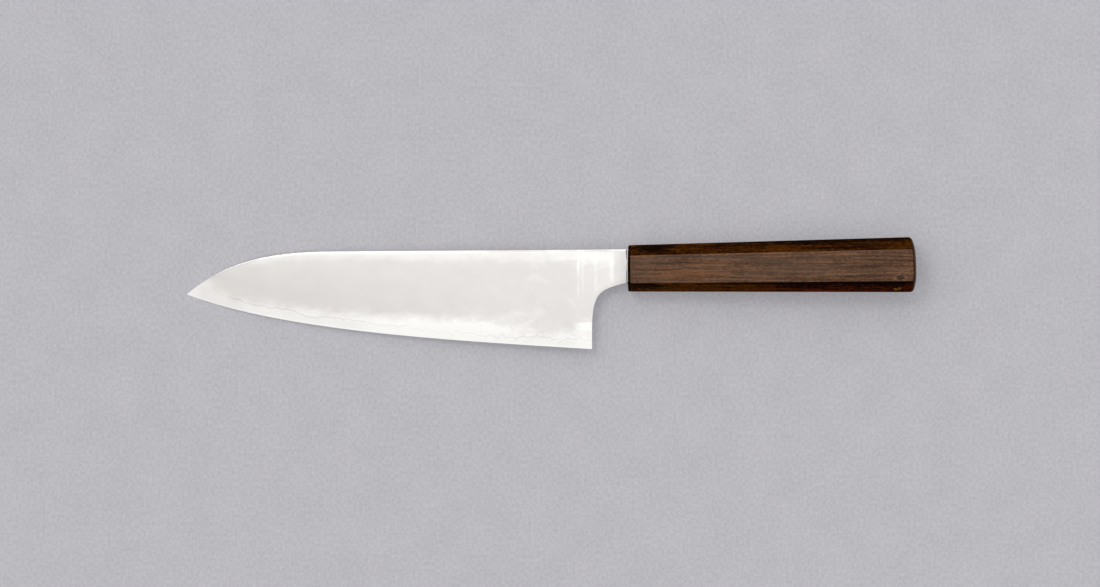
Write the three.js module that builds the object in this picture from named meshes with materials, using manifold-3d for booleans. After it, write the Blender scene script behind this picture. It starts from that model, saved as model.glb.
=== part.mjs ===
// Gyuto knife: a laminated blade with a hidden tang in a one-piece octagonal handle.
// Millimetres, +Z up. The knife lies on its right side on a table at Z = 0 and touches it
// with its tip and with the front edge of its handle. The origin is under the middle of the
// knife's box. +X runs from tip to butt and +Y from cutting edge to spine.
// Inside the knife's own group, X = 0 is the handle's front face, Y = 0 the middle of that
// face and Z = 0 the middle plane of the blade.
import * as THREE from 'three';
import Module from 'manifold-3d';

const wasm = await Module();
wasm.setup();
const { clamp, degToRad, lerp } = THREE.MathUtils;

// Blade outline, seen on its face. The fullness of a curve's end is the share of the curve's
// length over which that end holds its direction.
const edgeLength = 180.2;
const heelHeight = 44.3;
const spineBelowHandleTop = 1.7;
const spineSlope = degToRad(0.43);
const tipBelowSpine = 20.1;
const spineDropLength = 64;
const spineDropFullness = 0.48;
const spineTipFullness = 0.33;
const spineTipAngle = degToRad(39.7);
const edgeTipFullness = 0.256;
const edgeTipAngle = degToRad(20.9);
const edgeHeelFullness = 0.347;
const edgeHeelAngle = degToRad(3.5);
const tipBluntness = 0.25;

// Heel, choil and neck
const neckLength = 16.2;
const neckHeight = 14.9;
const neckFullness = 0.76;
const neckAngle = degToRad(15.5);
const heelWallHeight = 7.8;
const choilFullness = 0.85;

// Blade thicknesses and layers
const heelThickness = 2.3;
const dropThickness = 1.5;
const tipThickness = 0.2;
const coreThickness = 0.45;
const edgeThickness = 0.06;
const featherThickness = 0.05;
const grindExponent = 0.6;
const bondGap = 0.02;
const noseLength = 9;
const noseBluntness = 0.5;
const noseCurl = 3;

// Waves of the lamination line, as shares of its height above the edge
const longWaveLength = 41;
const longWaveShare = 0.12;
const shortWaveLength = 13.5;
const shortWaveShare = 0.1;

// Tang, stepped in from the neck at two shoulders
const spineShoulder = 0.7;
const edgeShoulder = 0.5;
const shoulderGap = 0.9;
const shoulderRun = 0.1;
const tangEndHeight = 5.5;
const tangRootThickness = 2.2;
const tangEndThickness = 1.6;

// Handle
const handleLength = 127.45;
const frontHeight = 20.6;
const buttHeight = 24.5;
const undersideFall = 0.23;
const frontWidth = 17.6;
const buttWidth = 20.4;
const frontSpineChamfer = 4.7;
const buttSpineChamfer = 5.4;
const frontEdgeChamfer = 3.75;
const buttEdgeChamfer = 4.9;
const frontRounding = 0.8;
const rimRounding = 1.15;
const buttBow = 1.75;
const bowFullness = 3.3;
const buttTilt = degToRad(1.9);

// Filling of the tang pocket
const resinWall = 0.8;
const resinEndRoom = 5;
const woodBehindPocket = 32.5;
const sealDepth = 3;
const fitGap = 0.1;

// Fineness of the curved surfaces
const bladeSteps = 72;
const wallSteps = 3;
const choilSteps = 12;
const faceRows = 5;
const leastRowShare = 0.04;
const tangSteps = 4;
const roundingSteps = 4;
const facetSteps = 4;
const buttSteps = 4;
const buttCentreShare = 0.15;
const bisections = 50;

// Key points of the outline
const heelX = -neckLength;
const shoulderX = -shoulderGap;
const spineHeight = frontHeight / 2 - spineBelowHandleTop;
const tip = new THREE.Vector2(heelX - edgeLength, spineHeight - tipBelowSpine);
const heel = new THREE.Vector2(heelX, spineLineY(heelX) - heelHeight);
const wallTop = new THREE.Vector2(heelX, heel.y + heelWallHeight);
const neckEnd = new THREE.Vector2(shoulderX, spineLineY(shoulderX) - neckHeight);
const dropStart = spineLinePoint(tip.x + spineDropLength);

// Ends and middle of the tang and of its pocket
const tangRootHeight = neckHeight - spineShoulder - edgeShoulder;
const tangCentre = neckEnd.y + edgeShoulder + tangRootHeight / 2;
const pocketEndX = handleLength - woodBehindPocket;
const tangEndX = pocketEndX - resinEndRoom;

// The claddings' nose is where the spine is as thick as the core and their thin borders together
const noseThickness = coreThickness + 2 * (bondGap + featherThickness);
const noseRun = Math.sqrt((dropThickness - noseThickness) / (dropThickness - tipThickness));
const noseX = dropStart.x - spineDropLength * noseRun;

const spineDropCurve = new THREE.CubicBezierCurve(
  tip,
  offset(tip, spineTipFullness * spineDropLength, spineTipAngle),
  offset(dropStart, -spineDropFullness * spineDropLength, spineSlope),
  dropStart,
);
const edgeCurve = new THREE.CubicBezierCurve(
  tip,
  offset(tip, edgeTipFullness * edgeLength, -edgeTipAngle),
  offset(heel, -edgeHeelFullness * edgeLength, -edgeHeelAngle),
  heel,
);
const choilCurve = new THREE.CubicBezierCurve(
  wallTop,
  offset(wallTop, choilFullness * (neckEnd.y - wallTop.y), Math.PI / 2),
  offset(neckEnd, -neckFullness * (neckEnd.x - wallTop.x), neckAngle),
  neckEnd,
);

function spineLineY(x) {
  return spineHeight + x * Math.tan(spineSlope);
}

function spineLinePoint(x) {
  return new THREE.Vector2(x, spineLineY(x));
}

function offset(point, distance, angle) {
  const step = new THREE.Vector2(Math.cos(angle), Math.sin(angle));
  return point.clone().addScaledVector(step, distance);
}

// Height of a curve whose X grows with its parameter
function curveY(curve, x) {
  let low = 0;
  let high = 1;
  for (let i = 0; i < bisections; i += 1) {
    const middle = (low + high) / 2;
    if (curve.getPoint(middle).x < x) {
      low = middle;
    } else {
      high = middle;
    }
  }
  return curve.getPoint(low).y;
}

function spineY(x) {
  return x < dropStart.x ? curveY(spineDropCurve, x) : spineLineY(x);
}

// Behind the heel the edge is carried on as a straight line, so that the neck keeps the grind
function edgeY(x) {
  return x < heelX ? curveY(edgeCurve, x) : heel.y - (x - heelX) * Math.tan(edgeHeelAngle);
}

// Share of the blade's height, 0 at the edge and 1 at the spine
function heightShare(point) {
  const low = edgeY(point.x);
  return (point.y - low) / (spineY(point.x) - low);
}

function spineHalfThickness(x) {
  if (x < dropStart.x) {
    const run = (dropStart.x - x) / spineDropLength;
    return lerp(dropThickness, tipThickness, run * run) / 2;
  }
  const taper = Math.max((heelX - x) / (heelX - dropStart.x), 0);
  return lerp(heelThickness, dropThickness, taper) / 2;
}

// Share of the height at which the ground face cuts through to the core. It curves up to the
// spine at the cladding's nose, and is past 1 where the whole spine is thinner than the core.
function laminationShare(x) {
  const plain = (coreThickness / 2 / spineHalfThickness(x)) ** (1 / grindExponent);
  if (x < noseX) {
    return Math.max(plain, 1);
  }
  const nose = Math.max(1 - (x - noseX) / noseLength, 0) ** noseCurl;
  const longWave = longWaveShare * Math.sin((2 * Math.PI * x) / longWaveLength);
  const shortWave = shortWaveShare * Math.sin((2 * Math.PI * x) / shortWaveLength);
  return lerp(plain * (1 + (longWave + shortWave) * (1 - plain)), 1, nose);
}

function coreHalfThickness(point) {
  const ground = (heightShare(point) / laminationShare(point.x)) ** grindExponent;
  return Math.max(Math.min(ground, 1) * (coreThickness / 2), edgeThickness / 2);
}

function claddingHalfThickness(point) {
  const inner = coreThickness / 2 + bondGap + featherThickness;
  const start = laminationShare(point.x) ** grindExponent;
  const rise = Math.max(heightShare(point) ** grindExponent - start, 0) / (1 - start);
  return inner + Math.max(spineHalfThickness(point.x) - inner, 0) * rise;
}

// Tang sizes along X, from the shoulder to the tang's end
function tangShare(x) {
  return (x - shoulderX) / (tangEndX - shoulderX);
}

function tangHalfHeight(x) {
  return lerp(tangRootHeight, tangEndHeight, tangShare(x)) / 2;
}

function tangHalfThickness(x) {
  return lerp(tangRootThickness, tangEndThickness, tangShare(x)) / 2;
}

// A station is a line across the blade, from its lower border up to its spine. Its lineShare
// is how far up it crosses the lamination line.
function bladeStation(bottom, top) {
  const bottomShare = heightShare(bottom);
  return {
    bottom,
    top,
    lineShare: (laminationShare(bottom.x) - bottomShare) / (1 - bottomShare),
    coreAt: coreHalfThickness,
    claddingAt: claddingHalfThickness,
  };
}

function tangStation(x) {
  return {
    bottom: new THREE.Vector2(x, tangCentre - tangHalfHeight(x)),
    top: new THREE.Vector2(x, tangCentre + tangHalfHeight(x)),
    lineShare: 0,
    coreAt: () => coreThickness / 2,
    claddingAt: () => tangHalfThickness(x),
  };
}

// How far the stations lean back towards the tip at the heel, so that they clear the choil
const heelLean = heelHeight / 2;

// Stations along the cutting edge, upright at the tip and leaning most at the heel
function edgeStations(startX) {
  return Array.from({ length: bladeSteps + 1 }, (_, i) => {
    const bottomX = lerp(startX, heelX, i / bladeSteps);
    const topX = lerp(startX, heelX - heelLean, i / bladeSteps);
    const bottom = new THREE.Vector2(bottomX, edgeY(bottomX));
    return bladeStation(bottom, new THREE.Vector2(topX, spineY(topX)));
  });
}

// Stations fanned out up the heel wall and along the choil. The wall below the lamination
// line belongs to the heel's own station.
function neckStations() {
  const stations = [];
  const steps = wallSteps + choilSteps;
  for (let i = 1; i <= steps; i += 1) {
    const wallPoint = heel.clone().lerp(wallTop, i / wallSteps);
    const choilPoint = choilCurve.getPoint(Math.max(i - wallSteps, 0) / choilSteps);
    const topX = lerp(heelX - heelLean, shoulderX, i / steps);
    const top = new THREE.Vector2(topX, spineY(topX));
    stations.push(bladeStation(i <= wallSteps ? wallPoint : choilPoint, top));
  }
  return stations.filter((station) => station.lineShare < -leastRowShare);
}

function tangStations() {
  return Array.from({ length: tangSteps + 1 }, (_, i) =>
    tangStation(lerp(shoulderX + shoulderRun, tangEndX, i / tangSteps)),
  );
}

function stationsFrom(startX) {
  return [...edgeStations(startX), ...neckStations(), ...tangStations()];
}

// Point on a station, lifted off the middle plane by a height that depends on the place
function stationPoint(station, share, heightAt) {
  const flat = station.bottom.clone().lerp(station.top, share);
  return new THREE.Vector3(flat.x, flat.y, heightAt(flat));
}

function mirrored(points) {
  return points.map((p) => new THREE.Vector3(p.x, p.y, -p.z)).reverse();
}

// Closed body through rings of points. The rings come in order of growing X, and each one
// turns from +Y towards +Z. The ends are closed by triangles round the middle of the ring.
function loft(rings) {
  const count = rings[0].length;
  const last = (rings.length - 1) * count;
  const firstMiddle = last + count;
  const lastMiddle = firstMiddle + 1;
  const next = (i) => (i + 1) % count;
  const index = [];
  for (let i = 0; i < count; i += 1) {
    for (let start = 0; start < last; start += count) {
      const a = start + i;
      const b = start + next(i);
      index.push(a, b, a + count, b, b + count, a + count);
    }
    index.push(firstMiddle, next(i), i);
    index.push(lastMiddle, last + i, last + next(i));
  }
  const points = [...rings.flat(), middleOf(rings[0]), middleOf(rings.at(-1))];
  const geometry = new THREE.BufferGeometry().setFromPoints(points);
  geometry.setIndex(index);
  return geometry;
}

function middleOf(points) {
  const sum = points.reduce((total, p) => total.add(p), new THREE.Vector3());
  return sum.divideScalar(points.length);
}

function toSolid(geometry) {
  const vertProperties = geometry.attributes.position.array;
  const triVerts = new Uint32Array(geometry.index.array);
  return new wasm.Manifold(new wasm.Mesh({ numProp: 3, vertProperties, triVerts }));
}

function toGeometry(solid) {
  const { vertProperties, triVerts } = solid.getMesh();
  const geometry = new THREE.BufferGeometry();
  geometry.setAttribute('position', new THREE.BufferAttribute(vertProperties, 3));
  geometry.setIndex(new THREE.BufferAttribute(triVerts, 1));
  return geometry;
}

function cut(body, tool) {
  return toGeometry(toSolid(body).subtract(toSolid(tool)));
}

// Core steel: flat between the claddings, then ground down to the cutting edge
function bladeCore() {
  const rings = stationsFrom(tip.x + tipBluntness).map((station) => {
    const line = clamp(station.lineShare, leastRowShare, 1 - leastRowShare);
    const upper = [1, line, 0].map((share) => stationPoint(station, share, station.coreAt));
    return [...upper, ...mirrored(upper)];
  });
  return loft(rings);
}

function claddingStations() {
  return stationsFrom(noseX + noseBluntness);
}

// Section of the left cladding, from the spine down to the lamination line
function claddingRing(station) {
  const end = Math.max(station.lineShare, 0);
  const inside = () => coreThickness / 2 + bondGap;
  const ring = [stationPoint(station, 1, inside)];
  for (let row = 0; row <= faceRows; row += 1) {
    ring.push(stationPoint(station, lerp(1, end, row / faceRows), station.claddingAt));
  }
  ring.push(stationPoint(station, end, inside));
  return ring;
}

function leftCladding() {
  return loft(claddingStations().map(claddingRing));
}

function rightCladding() {
  return loft(claddingStations().map((station) => mirrored(claddingRing(station))));
}

// Handle sizes along X
function handleSizes(x) {
  const share = x / handleLength;
  const bottom = -frontHeight / 2 - undersideFall * share;
  return {
    bottom,
    top: bottom + lerp(frontHeight, buttHeight, share),
    half: lerp(frontWidth, buttWidth, share) / 2,
    spineChamfer: lerp(frontSpineChamfer, buttSpineChamfer, share),
    edgeChamfer: lerp(frontEdgeChamfer, buttEdgeChamfer, share),
  };
}

// The eight corners of the handle's section
function octagon(x) {
  const { bottom, top, half, spineChamfer, edgeChamfer } = handleSizes(x);
  const upper = [
    new THREE.Vector3(x, top, half - spineChamfer),
    new THREE.Vector3(x, top - spineChamfer, half),
    new THREE.Vector3(x, bottom + edgeChamfer, half),
    new THREE.Vector3(x, bottom, half - edgeChamfer),
  ];
  return [...upper, ...mirrored(upper)];
}

// Points round the handle's section: its corners, and steps between them along each facet
function sectionRing(x) {
  const corners = octagon(x);
  return corners.flatMap((corner, i) => {
    const following = corners[(i + 1) % corners.length];
    return Array.from({ length: facetSteps }, (_, k) => corner.clone().lerp(following, k / facetSteps));
  });
}

// Ring that leans by the tilt and falls back by the bow at its top and bottom, drawn in towards
// its middle by the inset
function handleRing(x, inset, tilt, bow) {
  const { bottom, top } = handleSizes(x);
  const middle = new THREE.Vector3(x, (bottom + top) / 2, 0);
  const halfHeight = top - middle.y;
  const kept = 1 - inset / halfHeight;
  return sectionRing(x).map((point, i) => {
    const rise = point.y - middle.y;
    const lean = -rise * Math.tan(tilt);
    const fall = bow * Math.abs(rise / halfHeight) ** bowFullness * kept ** (bowFullness - 1);
    return middle.clone().lerp(sectionRing(x + lean - fall)[i], kept);
  });
}

// Outside of the handle: rounded front edge, straight tapered facets, rounded rim, bowed butt
function handleOutside() {
  const buttHalf = buttHeight / 2;
  const rings = [];
  for (let i = 0; i <= roundingSteps; i += 1) {
    const angle = (i / roundingSteps) * (Math.PI / 2);
    const x = frontRounding * (1 - Math.cos(angle));
    rings.push(handleRing(x, frontRounding * (1 - Math.sin(angle)), 0, 0));
  }
  for (let i = 0; i <= roundingSteps; i += 1) {
    const angle = (i / roundingSteps) * (Math.PI / 2);
    const x = handleLength - rimRounding * (1 - Math.sin(angle));
    rings.push(handleRing(x, rimRounding * (1 - Math.cos(angle)), buttTilt, buttBow));
  }
  for (let i = 1; i <= buttSteps; i += 1) {
    const outward = lerp(1, buttCentreShare, i / buttSteps);
    const inset = buttHalf - (buttHalf - rimRounding) * outward;
    rings.push(handleRing(handleLength, inset, buttTilt, buttBow));
  }
  return loft(rings);
}

// Tapered block of the tang's own shape, grown by a margin
function tangBlock(startX, endX, margin) {
  const rings = [startX, endX].map((x) => {
    const half = tangHalfHeight(x) + margin;
    const depth = tangHalfThickness(x) + margin;
    const upper = [
      new THREE.Vector3(x, tangCentre + half, depth),
      new THREE.Vector3(x, tangCentre - half, depth),
    ];
    return [...upper, ...mirrored(upper)];
  });
  return loft(rings);
}

const fillMargin = fitGap + resinWall;
const sealFrontX = shoulderX + shoulderRun + fitGap;
const beforeMouthX = sealFrontX - sealDepth;

function handleBody() {
  return cut(handleOutside(), tangBlock(beforeMouthX, pocketEndX, fillMargin + fitGap));
}

// Room for the tang itself, cut out of all that fills the pocket
function tangRoom() {
  return tangBlock(beforeMouthX, tangEndX + fitGap, fitGap);
}

// Adhesive sleeve round the tang, closed behind the tang's end
function tangResin() {
  return cut(tangBlock(sealDepth + fitGap, pocketEndX - fitGap, fillMargin), tangRoom());
}

// Bead in the pocket's mouth, standing out of it to just short of the blade's shoulders
function mouthSeal() {
  return cut(tangBlock(sealFrontX, sealDepth, fillMargin), tangRoom());
}

function piece(name, geometry, color, roughness, metalness) {
  const material = new THREE.MeshStandardMaterial({ color, roughness, metalness, flatShading: true });
  const mesh = new THREE.Mesh(geometry, material);
  mesh.name = name;
  return mesh;
}

const knife = new THREE.Group();
knife.add(
  piece('blade_core', bladeCore(), '#e9e8e5', 0.25, 1),
  piece('left_cladding', leftCladding(), '#cfcdc9', 0.35, 1),
  piece('right_cladding', rightCladding(), '#cfcdc9', 0.35, 1),
  piece('handle_body', handleBody(), '#5b4132', 0.4, 0),
  piece('tang_resin', tangResin(), '#8a6a3c', 0.3, 0),
  piece('mouth_seal', mouthSeal(), '#b8ad9c', 0.5, 0),
);

// The tip and the handle's front edge come down to the table together
const tipX = tip.x + tipBluntness;
const tipHalf = coreHalfThickness(new THREE.Vector2(tipX, spineY(tipX)));
const contactHalf = handleSizes(frontRounding).half;
const contactSpan = frontRounding - tipX;
knife.rotation.y = -Math.atan2(contactHalf - tipHalf, contactSpan);
const box = new THREE.Box3().setFromObject(knife, true);
const centre = box.getCenter(new THREE.Vector3());
knife.position.set(-centre.x, -centre.y, -box.min.z);

const part = new THREE.Group();
part.name = 'gyuto_knife';
part.add(knife);

export default part;
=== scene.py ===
"""Looks of the gyuto knife: laminated blade, octagonal handle, seal, floor, light and camera.

The knife's own frame is the one of the part's source, in millimetres: X = 0 at the handle's
front face and growing to the butt, Y = 0 at the middle of that face and growing to the spine,
Z = 0 in the blade's middle plane. place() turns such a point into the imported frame, in metres.
"""

import math

import bpy
import numpy as np
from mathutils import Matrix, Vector


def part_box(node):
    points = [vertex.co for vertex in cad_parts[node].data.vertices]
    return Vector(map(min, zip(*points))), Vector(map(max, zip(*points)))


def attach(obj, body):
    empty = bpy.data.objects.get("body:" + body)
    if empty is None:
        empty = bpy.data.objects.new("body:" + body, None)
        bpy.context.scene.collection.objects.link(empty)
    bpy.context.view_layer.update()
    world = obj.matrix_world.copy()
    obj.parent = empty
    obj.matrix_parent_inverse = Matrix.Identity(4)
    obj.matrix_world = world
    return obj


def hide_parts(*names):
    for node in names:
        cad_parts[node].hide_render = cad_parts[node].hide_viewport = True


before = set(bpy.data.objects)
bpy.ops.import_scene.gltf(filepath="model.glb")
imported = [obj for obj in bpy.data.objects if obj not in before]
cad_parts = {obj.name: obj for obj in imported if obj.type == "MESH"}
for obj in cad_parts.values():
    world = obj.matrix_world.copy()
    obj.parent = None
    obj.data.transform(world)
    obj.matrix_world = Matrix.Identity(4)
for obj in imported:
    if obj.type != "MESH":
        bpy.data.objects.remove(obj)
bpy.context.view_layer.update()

MM = 0.001

# Blade outline, as in the part's source
EDGE_LENGTH = 180.2
HEEL_HEIGHT = 44.3
SPINE_BELOW_HANDLE_TOP = 1.7
SPINE_SLOPE = math.radians(0.43)
TIP_BELOW_SPINE = 20.1
SPINE_DROP_LENGTH = 64
SPINE_DROP_FULLNESS = 0.48
SPINE_TIP_FULLNESS = 0.33
SPINE_TIP_ANGLE = math.radians(39.7)
EDGE_TIP_FULLNESS = 0.256
EDGE_TIP_ANGLE = math.radians(20.9)
EDGE_HEEL_FULLNESS = 0.347
EDGE_HEEL_ANGLE = math.radians(3.5)
TIP_BLUNTNESS = 0.25
NECK_LENGTH = 16.2
NECK_HEIGHT = 14.9
NECK_FULLNESS = 0.76
NECK_ANGLE = math.radians(15.5)
HEEL_WALL_HEIGHT = 7.8
CHOIL_FULLNESS = 0.85

# Blade thicknesses and layers, as in the part's source
HEEL_THICKNESS = 2.3
DROP_THICKNESS = 1.5
TIP_THICKNESS = 0.2
CORE_THICKNESS = 0.45
EDGE_THICKNESS = 0.06
FEATHER_THICKNESS = 0.05
GRIND_EXPONENT = 0.6
BOND_GAP = 0.02
NOSE_LENGTH = 9
NOSE_BLUNTNESS = 0.5
NOSE_CURL = 3

# Tang, handle and pocket, as in the part's source
SPINE_SHOULDER = 0.7
EDGE_SHOULDER = 0.5
SHOULDER_GAP = 0.9
SHOULDER_RUN = 0.1
TANG_END_HEIGHT = 5.5
TANG_ROOT_THICKNESS = 2.2
TANG_END_THICKNESS = 1.6
HANDLE_LENGTH = 127.45
FRONT_HEIGHT = 20.6
BUTT_HEIGHT = 24.5
UNDERSIDE_FALL = 0.23
FRONT_WIDTH = 17.6
BUTT_WIDTH = 20.4
FRONT_SPINE_CHAMFER = 4.7
BUTT_SPINE_CHAMFER = 5.4
FRONT_EDGE_CHAMFER = 3.75
BUTT_EDGE_CHAMFER = 4.9
FRONT_ROUNDING = 0.8
RIM_ROUNDING = 1.15
BUTT_BOW = 1.75
BOW_FULLNESS = 3.3
BUTT_TILT = math.radians(1.9)
RESIN_WALL = 0.8
RESIN_END_ROOM = 5
WOOD_BEHIND_POCKET = 32.5
SEAL_DEPTH = 3
FIT_GAP = 0.1

# Small roundings that only the looks have, and the gap and step left by grinding at the lamination line
FLUSH_GAP = 0.003
FLUSH_STEP = 0.004
SPINE_ROUNDING = 0.28
FACET_ROUNDING = 0.4
POCKET_CHAMFER = 0.1
POCKET_ROUNDING = 0.03
SEAL_ROUNDING = 0.12

# Lists of (distance from the heel towards the tip in mm, value).
# Height of the lamination line above the edge, in mm
LINE_HEIGHTS = (
    (0, 3.8), (9, 4.4), (13, 2.9), (22, 4.0), (32, 3.0), (45, 2.6), (57, 3.6), (66, 3.0), (82, 3.9),
    (117, 4.5), (124, 3.2), (136, 4.6), (147, 4.0), (154, 3.6), (160, 4.6),
)
# Height of the bright polish above the edge, and its depth below the spine, in mm
EDGE_POLISH = (
    (0, 8), (6, 7.6), (10, 5.8), (16, 5.2), (28, 6.6), (50, 9), (76, 8.4), (100, 7), (130, 6), (150, 5),
    (160, 5.2), (167, 5.6), (171, 8.5), (176, 13),
)
SPINE_POLISH = ((-16, 5), (0, 5), (20, 4.2), (70, 4), (105, 2.6), (140, 2.3), (154, 1.2), (165, 0.6))
# Brightness of the steel, from 0 for its dark to 1 for its bright colour: the polish of the edge, that of
# the spine, the rim along the spine with painted highlight and painted shade, and the hazy middle at its top
# and where it is darkest, with a painted reflection that makes it darker lower down
EDGE_TONES = (
    (0, 0.97), (15, 0.88), (30, 0.88), (50, 1.02), (92, 1.02), (108, 0.8), (150, 0.78), (160, 0.58),
    (172, 0.54), (177, 0.66), (180, 0.9),
)
SPINE_TONES = (
    (-14, 0.42), (-11, 0.55), (-8, 0.88), (6, 0.9), (11, 0.82), (16, 0.72), (100, 0.72), (150, 0.62),
    (158, 0.3), (168, 0.1), (175, 0.5),
)
RIM_TONES = (
    (-14, 0.7), (-6, 0.22), (10, 0.16), (40, 0.06), (58, 0.5), (110, 0.74), (136, 0.66), (147, 0.4),
    (152, 0), (168, 0), (175, 0.4),
)
HIGH_TONES = (
    (-14, 0.3), (-11.5, 0.4), (-8, 0.62), (4, 0.56), (12, 0.42), (100, 0.42), (136, 0.36), (158, 0.2),
    (167, 0.08), (174, 0.5),
)
LOW_TONES = (
    (-14, 0.38), (-11.5, 0.44), (-8, 0.48), (2, 0.4), (8, 0.38), (30, 0.38), (70, 0.27), (100, 0.2),
    (136, 0.13), (158, 0.09), (167, 0.14), (174, 0.5),
)
# Share of the blade's height at which its middle, with its painted reflection, is darkest
DARKEST_SHARE = 0.3
# How plainly the lamination line shows
LINE_TONES = (
    (0, 0.25), (10, 0.6), (25, 0.8), (45, 0.65), (60, 0.4), (104, 0.5), (118, 0.75), (158, 0.8),
    (163, 0.35), (167, 0.05), (176, 0),
)

# Fineness of the meshes, and how stations crowd at the tip and rows at the edge
BLADE_STEPS = 300
WALL_STEPS = 10
CHOIL_STEPS = 44
FACE_ROWS = 26
BEVEL_ROWS = 9
LEAST_ROW_SHARE = 0.04
TANG_STEPS = 4
ARC_STEPS = 4
ROUNDING_STEPS = 8
FACET_STEPS = 6
BUTT_STEPS = 8
BUTT_CENTRE_SHARE = 0.12
CURVE_SAMPLES = 4001
SHARP_ANGLE = math.radians(32)
TIP_CROWDING = 1.15
EDGE_CROWDING = 2
# A cladding's face is at least this many times as long as the rounding at its spine
FACE_PER_ROUNDING = 3


# Outline curves

def lerp(a, b, share):
    return a + (b - a) * share


def away(point, distance, angle):
    return point[0] + distance * math.cos(angle), point[1] + distance * math.sin(angle)


def spine_line(x):
    return SPINE_HEIGHT + x * math.tan(SPINE_SLOPE)


def bezier(points):
    t = np.linspace(0, 1, CURVE_SAMPLES)[:, None]
    a, b, c, d = np.array(points, float)
    return a * (1 - t) ** 3 + 3 * b * t * (1 - t) ** 2 + 3 * c * t * t * (1 - t) + d * t ** 3


HEEL_X = -NECK_LENGTH
SHOULDER_X = -SHOULDER_GAP
SPINE_HEIGHT = FRONT_HEIGHT / 2 - SPINE_BELOW_HANDLE_TOP
TIP = (HEEL_X - EDGE_LENGTH, SPINE_HEIGHT - TIP_BELOW_SPINE)
HEEL = (HEEL_X, spine_line(HEEL_X) - HEEL_HEIGHT)
WALL_TOP = (HEEL_X, HEEL[1] + HEEL_WALL_HEIGHT)
NECK_END = (SHOULDER_X, spine_line(SHOULDER_X) - NECK_HEIGHT)
DROP_START = (TIP[0] + SPINE_DROP_LENGTH, spine_line(TIP[0] + SPINE_DROP_LENGTH))
HEEL_LEAN = HEEL_HEIGHT / 2
NOSE_THICKNESS = CORE_THICKNESS + 2 * (BOND_GAP + FEATHER_THICKNESS)
NOSE_RUN = math.sqrt((DROP_THICKNESS - NOSE_THICKNESS) / (DROP_THICKNESS - TIP_THICKNESS))
NOSE_X = DROP_START[0] - SPINE_DROP_LENGTH * NOSE_RUN

spine_drop = bezier((
    TIP,
    away(TIP, SPINE_TIP_FULLNESS * SPINE_DROP_LENGTH, SPINE_TIP_ANGLE),
    away(DROP_START, -SPINE_DROP_FULLNESS * SPINE_DROP_LENGTH, SPINE_SLOPE),
    DROP_START,
))
cutting_edge = bezier((
    TIP,
    away(TIP, EDGE_TIP_FULLNESS * EDGE_LENGTH, -EDGE_TIP_ANGLE),
    away(HEEL, -EDGE_HEEL_FULLNESS * EDGE_LENGTH, -EDGE_HEEL_ANGLE),
    HEEL,
))
choil = bezier((
    WALL_TOP,
    away(WALL_TOP, CHOIL_FULLNESS * (NECK_END[1] - WALL_TOP[1]), math.pi / 2),
    away(NECK_END, -NECK_FULLNESS * (NECK_END[0] - WALL_TOP[0]), NECK_ANGLE),
    NECK_END,
))


def spine_y(x):
    return np.interp(x, spine_drop[:, 0], spine_drop[:, 1]) if x < DROP_START[0] else spine_line(x)


def edge_y(x):
    if x < HEEL_X:
        return np.interp(x, cutting_edge[:, 0], cutting_edge[:, 1])
    return HEEL[1] - (x - HEEL_X) * math.tan(EDGE_HEEL_ANGLE)


def choil_y(x):
    return np.interp(x, choil[:, 0], choil[:, 1])


def along_heel(pairs, x):
    """Value at x of a list of (distance from the heel, value), eased from one to the next."""
    places, values = zip(*pairs)
    at = np.clip(np.interp(HEEL_X - x, places, range(len(places))), 0, len(places) - 1)
    low = min(int(at), len(places) - 2)
    share = at - low
    return lerp(values[low], values[low + 1], share * share * (3 - 2 * share))


# Blade thickness

def height_share(x, y):
    low = edge_y(x)
    return (y - low) / (spine_y(x) - low)


def spine_half(x):
    if x < DROP_START[0]:
        run = (DROP_START[0] - x) / SPINE_DROP_LENGTH
        return lerp(DROP_THICKNESS, TIP_THICKNESS, run * run) / 2
    taper = max((HEEL_X - x) / (HEEL_X - DROP_START[0]), 0)
    return lerp(HEEL_THICKNESS, DROP_THICKNESS, taper) / 2


def line_share(x):
    """Share of the height at which the core comes out from under the cladding."""
    if x < NOSE_X:
        return max((CORE_THICKNESS / 2 / spine_half(x)) ** (1 / GRIND_EXPONENT), 1)
    plain = along_heel(LINE_HEIGHTS, x) / (spine_y(x) - edge_y(x))
    nose = max(1 - (x - NOSE_X) / NOSE_LENGTH, 0) ** NOSE_CURL
    return lerp(plain, 1, nose)


def core_half(x, y):
    ground = (max(height_share(x, y), 0) / line_share(x)) ** GRIND_EXPONENT
    return max(min(ground, 1) * CORE_THICKNESS / 2, EDGE_THICKNESS / 2)


def cladding_half(x, y):
    inner = CORE_THICKNESS / 2 + FLUSH_GAP + FLUSH_STEP
    start = line_share(x) ** GRIND_EXPONENT
    rise = max(max(height_share(x, y), 0) ** GRIND_EXPONENT - start, 0) / (1 - start)
    return inner + max(spine_half(x) - inner, 0) * rise


# Tang
TANG_ROOT_HEIGHT = NECK_HEIGHT - SPINE_SHOULDER - EDGE_SHOULDER
TANG_CENTRE = NECK_END[1] + EDGE_SHOULDER + TANG_ROOT_HEIGHT / 2
POCKET_END_X = HANDLE_LENGTH - WOOD_BEHIND_POCKET
TANG_END_X = POCKET_END_X - RESIN_END_ROOM
FILL_MARGIN = FIT_GAP + RESIN_WALL
SEAL_FRONT_X = SHOULDER_X + SHOULDER_RUN + FIT_GAP


def tang_share(x):
    return (x - SHOULDER_X) / (TANG_END_X - SHOULDER_X)


def tang_half_height(x):
    return lerp(TANG_ROOT_HEIGHT, TANG_END_HEIGHT, tang_share(x)) / 2


def tang_half_thickness(x):
    return lerp(TANG_ROOT_THICKNESS, TANG_END_THICKNESS, tang_share(x)) / 2


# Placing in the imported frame: the tip and the handle's front edge are down on the table
TIP_X = TIP[0] + TIP_BLUNTNESS
TIP_HALF = core_half(TIP_X, spine_y(TIP_X))


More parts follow.
